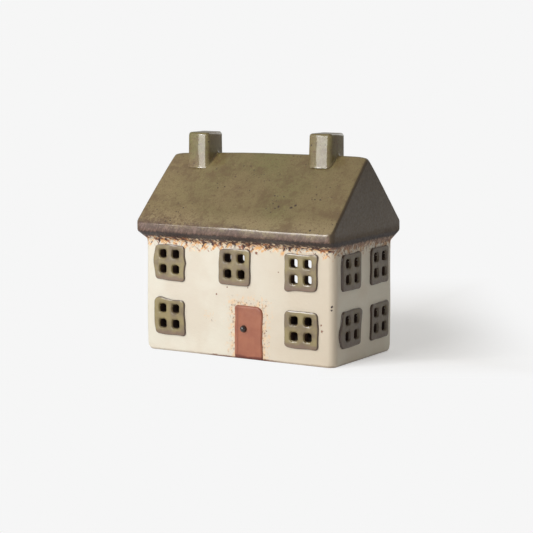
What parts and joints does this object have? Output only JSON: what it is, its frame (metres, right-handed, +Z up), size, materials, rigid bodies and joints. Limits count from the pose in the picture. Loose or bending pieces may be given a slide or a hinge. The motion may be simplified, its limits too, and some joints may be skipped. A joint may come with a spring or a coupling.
{
  "type": "tealight house",
  "caption": "Glazed stoneware cottage candle holder with pierced windows, gabled roof and chimneys; a tealight goes in through an arch in its back.",
  "frame": {"origin": "under the middle of the house, on the table that it stands on", "axes": "+X along the front to the door's right, +Y from the front to the back, +Z up"},
  "size_m": [0.1308, 0.0838, 0.1279],
  "materials": {
    "cream_glaze": "satin cream glaze with iron flecks",
    "roof_glaze": "glossy mottled olive glaze that breaks to brown at its edges",
    "window_glaze": "glossy grey olive glaze",
    "door_slip": "satin terracotta slip",
    "knob_glaze": "glossy black glaze",
    "bare_clay": "unglazed brown stoneware",
    "candle_cup": "thin pressed foil",
    "candle_wax": "white wax",
    "candle_wick": "waxed cotton braid",
    "wick_tab": "plain tinned steel"
  },
  "bodies": {
    "house": {"base_slab": "bare_clay", "door": "door_slip", "door_knob": "knob_glaze", "front_wall": "cream_glaze", "front_window_lower_left": "window_glaze", "front_window_lower_right": "window_glaze", "front_window_upper_left": "window_glaze", "front_window_upper_middle": "window_glaze", "front_window_upper_right": "window_glaze", "left_chimney": "roof_glaze", "left_gable": "roof_glaze", "left_wall": "cream_glaze", "left_window_lower_front": "window_glaze", "left_window_lower_rear": "window_glaze", "left_window_upper_front": "window_glaze", "left_window_upper_rear": "window_glaze", "rear_wall": "cream_glaze", "rear_window_lower_left": "window_glaze", "rear_window_lower_right": "window_glaze", "rear_window_upper_left": "window_glaze", "rear_window_upper_right": "window_glaze", "right_chimney": "roof_glaze", "right_gable": "roof_glaze", "right_wall": "cream_glaze", "right_window_lower_front": "window_glaze", "right_window_lower_rear": "window_glaze", "right_window_upper_front": "window_glaze", "right_window_upper_rear": "window_glaze", "roof_front_slope": "roof_glaze", "roof_rear_slope": "roof_glaze"},
    "tealight": {"tealight_cup": "candle_cup", "tealight_wax": "candle_wax", "tealight_wick": "candle_wick", "wick_tab": "wick_tab"}
  },
  "joints": [
    {"name": "tealight_slide", "type": "slide", "parent": "house", "child": "tealight", "axis": [0, 0.8688, 0.4952], "range_m": [0, 0.0863]}
  ]
}
